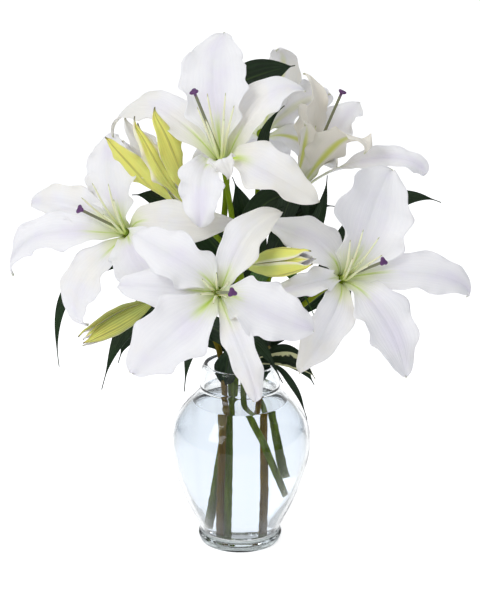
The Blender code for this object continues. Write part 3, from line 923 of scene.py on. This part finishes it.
# Each stem: its points up from the cut end, what its tip and its branches carry, its leaves, and the
# shares of its length at which a leaf has left its scar. A leaf has a base, a middle and a tip, a
# half width, the way its face looks, and its finish where that isn't the plain leaf.
stems = {
    "stem_1": {
        "points": (
            *((-16, -5, 11.3), (-15.5, -5, 60), (-15, -5, 120)),
            *((-19, -6, 200), (-34, 2, 245), (-66, 22, 292)),
        ),
        "tip": "left_lily",
        "branches": {"left_bud": ((-26, -3, 226), (-54, -4, 262))},
        "leaves": (
            ((-82, 15, 311), (-172, 2, 288), (-190, -18, 202), 6.0, (-0.4, -1, 0.2)),
            ((-23, -4, 218), (-98, 6, 256), (-147, -6, 172), 12.0, (-0.2, -1, 0.3)),
            ((-18, -7, 180), (-14, -20, 203), (-12, -34, 232), 10.0, (-0.3, -1, 0.2)),
        ),
        "finish": "brownStem",
        "scars": (0.24, 0.42),
    },
    "stem_2": {
        "points": (
            *((-22, 12, 18), (-16, 16, 80), (-6.5, 16, 150)),
            *((-4, 14, 200), (-3, 20, 280), (-7, 6, 345)),
        ),
        "tip": "top_lily",
        "branches": {"opening_lily": ((-4, 18, 296), (-18, 4, 330))},
        "leaves": (
            ((-5, 14, 318), (36, 22, 374), (89, 14, 360), 11.0, (0.1, -1, 0.5)),
            ((-3, 19, 290), (-60, 14, 360), (-112, 4, 382), 14.0, (0, -1, 0.4)),
            ((-4, 17, 262), (6, 30, 330), (-8, 34, 394), 17.0, (0.1, -1, 0.1)),
        ),
        "finish": "greenStem",
    },
    "stem_3": {
        "points": ((41.5, -20, 62), (24.5, -18, 105), (5.5, -14, 150), (3, -14, 200), (-6, -20, 250)),
        "tip": "front_lily",
        "branches": {"right_bud": ((-4, -18, 236), (2, -44, 300))},
        "leaves": (
            ((-1, -16, 222), (30, -62, 326), (76, -80, 274), 7.0, (0.2, -1, 0.4), "freshLeaf"),
            ((2, -14, 208), (-38, -40, 252), (-58, -42, 183), 10.0, (-0.2, -1, 0.3)),
            ((4, -14, 190), (14, -38, 236), (44, -52, 196), 7.0, (0.2, -1, 0.2)),
            ((5, -16, 204), (52, -42, 216), (78, -46, 198), 7.5, (0, -0.6, 1), "variegated"),
        ),
        "finish": "greenStem",
    },
    "stem_4": {
        "points": ((16.5, 4, 11.3), (18, 4, 60), (19.5, 4, 120), (24, 2, 198), (44, 8, 240)),
        "tip": "right_lily",
        "leaves": (
            ((58, 4, 253), (140, 28, 334), (144, 22, 430), 14.0, (0, -1, 0.1)),
            ((70, -4, 266), (140, 24, 358), (210, 20, 370), 11.0, (0, -1, 0.3)),
            ((28, 2, 207), (54, -20, 212), (78, -24, 184), 9.0, (0.3, -1, 0.4)),
            ((22, 2, 178), (21, -12, 204), (18, -18, 240), 8.0, (0.3, -1, 0.2)),
            ((32, 4, 216), (40, -6, 244), (70, -10, 262), 12.0, (0, -1, 0.2)),
            ((40, 6, 230), (92, 4, 294), (118, -8, 266), 9.0, (0, -1, 0.2)),
        ),
        "finish": "brownStem",
        "scars": (0.42, 0.52),
    },
    "stem_5": {
        "points": ((31, 20, 75), (26, 17, 120), (20.5, 16, 160), (22, 15, 200), (30, 36, 280)),
        "tip": "side_lily",
        "branches": {"back_lily": ((28, 26, 244), (18, 44, 320))},
        "leaves": (
            ((34, 40, 300), (57, 2, 386), (70, -14, 344), 9.0, (0.1, -1, 0.3)),
            ((30, 36, 284), (74, 14, 340), (90, 8, 402), 7.0, (0.2, -1, 0.2)),
            ((52, 43, 351), (24, 40, 420), (46, 32, 470), 6.0, (-0.2, -1, 0.2)),
            ((31, 34, 300), (58, 26, 352), (99, 20, 366), 11.0, (0, -1, 0.3)),
        ),
        "finish": "greenStem",
    },
    "stem_6": {
        "points": (
            *((-9.5, 4, 11.3), (-9, 4, 60), (-9, 4, 120), (-11, 3, 200)),
            *((-20, 30, 290), (-14, 48, 400), (-22, 46, 474)),
        ),
        "leaves": (
            ((-12, 6, 214), (-89, 26, 243), (-131, 22, 192), 19.0, (-0.2, -1, 0.3)),
            ((-19, 26, 270), (-60, 60, 350), (-104, 60, 300), 9.0, (-0.3, 0.4, 1)),
            ((-18, 20, 250), (10, 70, 330), (30, 120, 290), 9.0, (0.2, 0.6, 1)),
        ),
        "finish": "greenStem",
    },
}
# Two leaves that have a CAD node each.
looseLeaves = {
    "top_leaf": ((-20, 46, 482), (20, 43, 500), (57, 48, 509), 13.0, (0.1, -1, 0.3)),
    "collar_leaf": ((34, -26, 207), (54, -28, 187), (71, -24, 145), 3.0, (0.6, -1, 0.4)),
}
stemShape = {
    "radius": 3.2,
    "neck": 3.0,  # the radius where the stem turns into the stalk of its flower
    "stalk": 2.7,
    "seat": 7.0,  # the radius under a flower
    "budSeat": 0.34,  # the radius under a bud, as a share of the bud's
    "behindFlower": (34, 12, 5, 1.2),  # how far behind its flower each last point is
    "behindBud": (14, 1.2),
    "sides": 16,
    "scar": 0.28,  # how much it swells at a leaf scar
    "scarLength": 0.011,  # as a share of the stem's
    "ripple": 0.03,
}
leafShape = {
    "size": (30, 10),
    "thickness": 0.9,
    "fold": 0.25,
    "wave": 1.4,
    "groove": 0.35,
    "fullness": 1.3,  # how much broader than the half widths given
}


def leafLine(leaf, u, waves):
    base, middle, tip, width, facing, *_ = leaf
    base, middle, tip = Vector(base), Vector(middle), Vector(tip)
    bend = 2 * middle - 0.5 * (base + tip)
    centre = (1 - u) ** 2 * base + 2 * u * (1 - u) * bend + u * u * tip
    heading = ((1 - u) * (bend - base) + u * (tip - bend)).normalized()
    aside = Vector(facing).cross(heading).normalized()
    face = heading.cross(aside)
    half = max(leafShape["fullness"] * width * math.sin(math.pi * min(u + 0.06, 1) ** 0.95), 0.5)

    def point(v):
        fold = leafShape["fold"] * half * (abs(v) ** 1.4)
        phase = waves["left"] if v < 0 else waves["right"]
        wave = leafShape["wave"] * abs(v) ** 2 * math.sin(9 * u + phase) * math.sin(math.pi * u)
        groove = leafShape["groove"] * math.exp(-((v / 0.12) ** 2))
        return centre + v * half * aside + (fold + wave - groove) * face

    return point


def makeLeaf(name, leaf, stands):
    chance = random.Random(name)
    waves = {"left": chance.uniform(0, 6.28), "right": chance.uniform(0, 6.28)}
    lineAt = lambda u: leafLine(leaf, u, waves)
    face = leaf[5] if len(leaf) > 5 else "leaf"
    faces = [face, face + "Under"]
    blade(name, lineAt, leafShape["size"], leafShape["thickness"], faces, "leaf", stands)


def behind(name):
    # The last points of a stalk, which comes up behind its flower or bud.
    if name in buds:
        base, tip = Vector(buds[name]["base"]), Vector(buds[name]["tip"])
        axis = (tip - base).normalized()
        return [base - far * axis for far in stemShape["behindBud"]]
    axis = axesOf(lilies[name]["faces"])[0]
    base = Vector(lilies[name]["base"])
    return [base - far * axis for far in stemShape["behindFlower"]]


def stalkEnds(name):
    # The radii of a stalk at those points.
    if name in buds:
        return [stemShape["stalk"], buds[name]["radius"] * stemShape["budSeat"]]
    return [stemShape["stalk"], stemShape["stalk"], stemShape["seat"] * 0.75, stemShape["seat"]]


def tubeAlong(points, radii, perSpan, sides, scars=(), cutEnd=False):
    # A smooth tube, with its radii eased between the points and a swelling at each leaf scar.
    path = smoothPath(points, perSpan)
    spans = len(points) - 1
    widths, knots = [], []
    for k in range(len(path)):
        place = k / perSpan
        low = min(int(place), spans - 1)
        width = radii[low] + (radii[low + 1] - radii[low]) * eased(place, low, low + 1)
        share = k / (len(path) - 1)
        near = [math.exp(-(((share - scar) / stemShape["scarLength"]) ** 2)) for scar in scars]
        knots.append(max(near, default=0.0))
        widths.append(width * (1 + stemShape["scar"] * knots[-1] + stemShape["ripple"] * math.sin(1.7 * k)))
    return {"points": path, "radii": widths, "sides": sides, "knots": knots, "cutEnd": cutEnd}


def makeStem(name, stem):
    points = [Vector(point) for point in stem["points"]]
    radii = [stemShape["radius"]] * len(points)
    if "tip" in stem:
        points += behind(stem["tip"])
        radii = radii[:-1] + [stemShape["neck"]] + stalkEnds(stem["tip"])
    parts = [tubeAlong(points, radii, 14, stemShape["sides"], stem.get("scars", ()), True)]
    for carried, route in stem.get("branches", {}).items():
        route = [Vector(point) for point in route] + behind(carried)
        ends = stalkEnds(carried)
        radii = [stemShape["stalk"]] * (len(route) - len(ends)) + ends
        parts.append(tubeAlong(route, radii, 12, stemShape["sides"]))
    sweep(f"{name}_stalk", parts, stem["finish"], "stem", [name])
    for k, leaf in enumerate(stem["leaves"]):
        makeLeaf(f"{name}_leaf_{k + 1}", leaf, [name])


for name, stem in stems.items():
    makeStem(name, stem)
for name, leaf in looseLeaves.items():
    makeLeaf(f"{name}_blade", leaf, [name])
print("stems made:", len(stems))


vaseShape = {
    # The outside, down from the lip, as (radius, height): neck, shoulder, belly, then foot.
    "outside": (
        *((38.0, 200.0), (40.5, 195.0), (43.0, 178.0), (42.5, 172.0)),
        *((49.5, 163.0), (61.9, 150.0), (73.0, 132.0), (75.8, 112.0)),
        *((73.0, 90.0), (65.7, 66.0), (56.8, 43.0)),
        *((43.0, 13.5), (45.3, 7.0), (43.0, 0.0)),
    ),
    "lip": ((0.9, -0.6), (0.6, 0.0), (0.3, 0.0)),  # in by shares of the glass, and up
    "foot": ((42.0, 0.0), (38.5, 0.4), (34.0, 1.6), (0, 2.4)),
    "corner": ((0.6, 3.4), (2.0, 1.2), (5.0, 0)),  # inside: in from the wall, and up from the floor
    "brim": ((0.4, 0.0), (1.5, 0.7), (4.0, 1.0)),  # of the water: in from the wall, and down
    "glass": 4.0,
    "floor": 11.0,
    "waterLevel": 158.0,
    "gap": 0.3,
    "sides": 128,
    "perSpan": 8,
}


def turned(name, profile, face, slot, stands):
    # A solid of revolution about the vase's axis, from (radius, height) points down its outer side.
    shape = bmesh.new()
    knots = [shape.verts.new((mm * radius, 0, mm * height)) for radius, height in profile]
    edges = [shape.edges.new(pair) for pair in zip(knots, knots[1:])]
    bmesh.ops.spin(
        shape,
        geom=[*knots, *edges],
        cent=(0, 0, 0),
        axis=(0, 0, 1),
        angle=2 * math.pi,
        steps=vaseShape["sides"],
    )
    bmesh.ops.remove_doubles(shape, verts=shape.verts, dist=0.01 * mm)
    bmesh.ops.recalc_face_normals(shape, faces=shape.faces)
    mesh = bpy.data.meshes.new(name)
    shape.to_mesh(mesh)
    shape.free()
    place(name, mesh, [face], slot, stands)


def outsideProfile():
    points = [(radius, height, 0) for radius, height in vaseShape["outside"]]
    return [(point.x, point.y) for point in smoothPath(points, vaseShape["perSpan"])]


def insideProfile(away):
    # The inside, up from the floor: the outside moved in by the glass and by a gap.
    inset = vaseShape["glass"] + away
    outside = outsideProfile()
    points = []
    for before, at, after in zip(outside, outside[1:], outside[2:]):
        dx, dz = after[0] - before[0], after[1] - before[1]
        length = math.hypot(dx, dz)
        radius, height = at[0] + inset * dz / length, at[1] - inset * dx / length
        if height > vaseShape["floor"] + 6 + away:
            points.append((radius, height))
    floor = vaseShape["floor"] + away
    corner = [(points[-1][0] - inward, floor + rise) for inward, rise in vaseShape["corner"]]
    return [(0, floor), *corner[::-1], *points[::-1]]


def makeVase():
    outside = outsideProfile()
    edge, top = outside[0]
    lip = [(edge - share * vaseShape["glass"], top + rise) for share, rise in vaseShape["lip"]]
    profile = [*insideProfile(0.0), *lip, *outside, *vaseShape["foot"]]
    turned("vase_glass", profile, "glass", "vase_glass", ["vase"])


def makeWater():
    # It creeps a little way up the glass, so its surface dips.
    level = vaseShape["waterLevel"]
    wall = [point for point in insideProfile(vaseShape["gap"]) if point[1] < level]
    brim = [(wall[-1][0] - inward, level - fall) for inward, fall in vaseShape["brim"]]
    turned("water_body", [*wall, *brim, (0, brim[-1][1])], "water", "water", ["vase_water"])


makeVase()
makeWater()
print("vase and water made")


studio = {
    "floor": (0.97, 0.97, 0.97),
    "floorCloud": (0.93, 0.93, 0.94),
    "floorSize": 6,
    "floorGlow": 0.66,
    "seen": (1.0, 1.0, 1.0),  # the colour of that glow, and what it throws on other things
    "thrown": (0.12, 0.10, 0.15),
    "glare": 0.28,  # how far a reflection shows the thrown colour, not the seen one
    "behind": (1.0, 1.0, 1.0),
    "beside": (0.46, 0.52, 0.60),
    "sky": 0.56,
    "key": {"at": (-1.3, -1.3, 1.7), "size": 1.1, "power": 19},
    "fill": {"at": (1.5, -1.2, 1.1), "size": 1.2, "power": 3},
    "top": {"at": (0.2, 0.6, 2.2), "size": 1.6, "power": 6},
    "aim": (0, 0, 0.3),
    "camera": {"at": (0, -1.721, 0.796), "tilt": 73, "lens": 102.9, "sensor": 36},
}


def makeFloor():
    shape = bmesh.new()
    bmesh.ops.create_grid(shape, x_segments=2, y_segments=2, size=studio["floorSize"])
    mesh = bpy.data.meshes.new("floor")
    shape.to_mesh(mesh)
    shape.free()
    finish = Finish("paleFloor", Emission_Strength=studio["floorGlow"])
    # Less of its glow lights the flowers, or shows as a glare on the glass.
    thrown = finish.add("LightPath", {}, {}, "Is Diffuse Ray")
    thrown = thrown + finish.add("LightPath", {}, {}, "Is Glossy Ray") * studio["glare"]
    glow = finish.blend(thrown, studio["seen"], studio["thrown"])
    finish.feed(finish.shader.inputs["Emission Color"], glow)
    cloud = finish.blend(finish.grain(3) * 0.2, studio["floor"], studio["floorCloud"])
    mesh.materials.append(finish.paint(cloud, 0.9))
    floor = bpy.data.objects.new("floor", mesh)
    floor.location.z = cadBox[0][2] - 0.2 * mm
    bpy.context.scene.collection.objects.link(floor)


def makeLights():
    for name in ("key", "fill", "top"):
        lamp = bpy.data.lights.new(name, "AREA")
        lamp.size = studio[name]["size"]
        lamp.energy = studio[name]["power"]
        light = bpy.data.objects.new(name, lamp)
        light.location = studio[name]["at"]
        aim = Vector(studio["aim"]) - Vector(studio[name]["at"])
        light.rotation_euler = aim.to_track_quat("-Z", "Y").to_euler()
        bpy.context.scene.collection.objects.link(light)
    # A bright room whose sides are dimmer, so that clear glass shows its edges.
    world = bpy.data.worlds.new("studio")
    world.use_nodes = True
    nodes = Nodes(world.node_tree)
    background = world.node_tree.nodes["Background"]
    toSide = nodes.add("SeparateXYZ", {}, {0: nodes.add("TexCoord", {}, {}, "Generated")}, "X")
    shade = nodes.ease(abs(toSide), 0.35, 0.85)
    nodes.feed(background.inputs["Color"], nodes.blend(shade, studio["behind"], studio["beside"]))
    background.inputs["Strength"].default_value = studio["sky"]
    bpy.context.scene.world = world


def makeCamera():
    view = studio["camera"]
    lens = bpy.data.cameras.new("camera")
    lens.lens = view["lens"]
    lens.sensor_width = view["sensor"]
    camera = bpy.data.objects.new("camera", lens)
    camera.location = view["at"]
    camera.rotation_euler = (math.radians(view["tilt"]), 0, 0)
    bpy.context.scene.collection.objects.link(camera)
    bpy.context.scene.camera = camera
    bpy.context.scene.view_settings.view_transform = "Standard"


makeFloor()
makeLights()
makeCamera()
print("floor, light and camera made")
